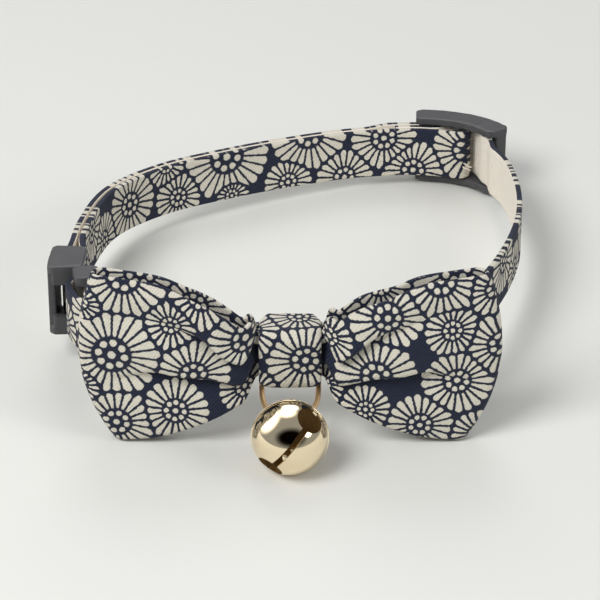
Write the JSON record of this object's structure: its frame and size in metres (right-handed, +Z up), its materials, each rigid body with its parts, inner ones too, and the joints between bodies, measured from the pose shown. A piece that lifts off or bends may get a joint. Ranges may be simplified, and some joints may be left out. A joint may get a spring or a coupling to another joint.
{
  "type": "pet bow tie collar",
  "caption": "Pet collar with a printed cloth strap, a folded bow tie, a hanging round bell, a slider that sets its length and a breakaway buckle.",
  "frame": {"origin": "centre of the bounding box on the floor that the collar lies on", "axes": "+Z up; the bow and the bell face -Y; +X is to the right of who looks at the bow"},
  "size_m": [0.0806, 0.1032, 0.0298],
  "materials": {
    "printed_cloth": "matte woven",
    "grey_plastic": "satin moulded",
    "gold_wire": "polished pale gold plating",
    "gold_bell": "mirror polished champagne gold plating"
  },
  "bodies": {
    "root": {"strap": "printed_cloth", "bow": "printed_cloth", "knot_band": "printed_cloth", "slider": "grey_plastic", "buckle_socket": "grey_plastic", "buckle_plug": "grey_plastic", "d_ring": "gold_wire", "bell": "gold_bell", "bell_clapper": "gold_bell"}
  },
  "joints": []
}
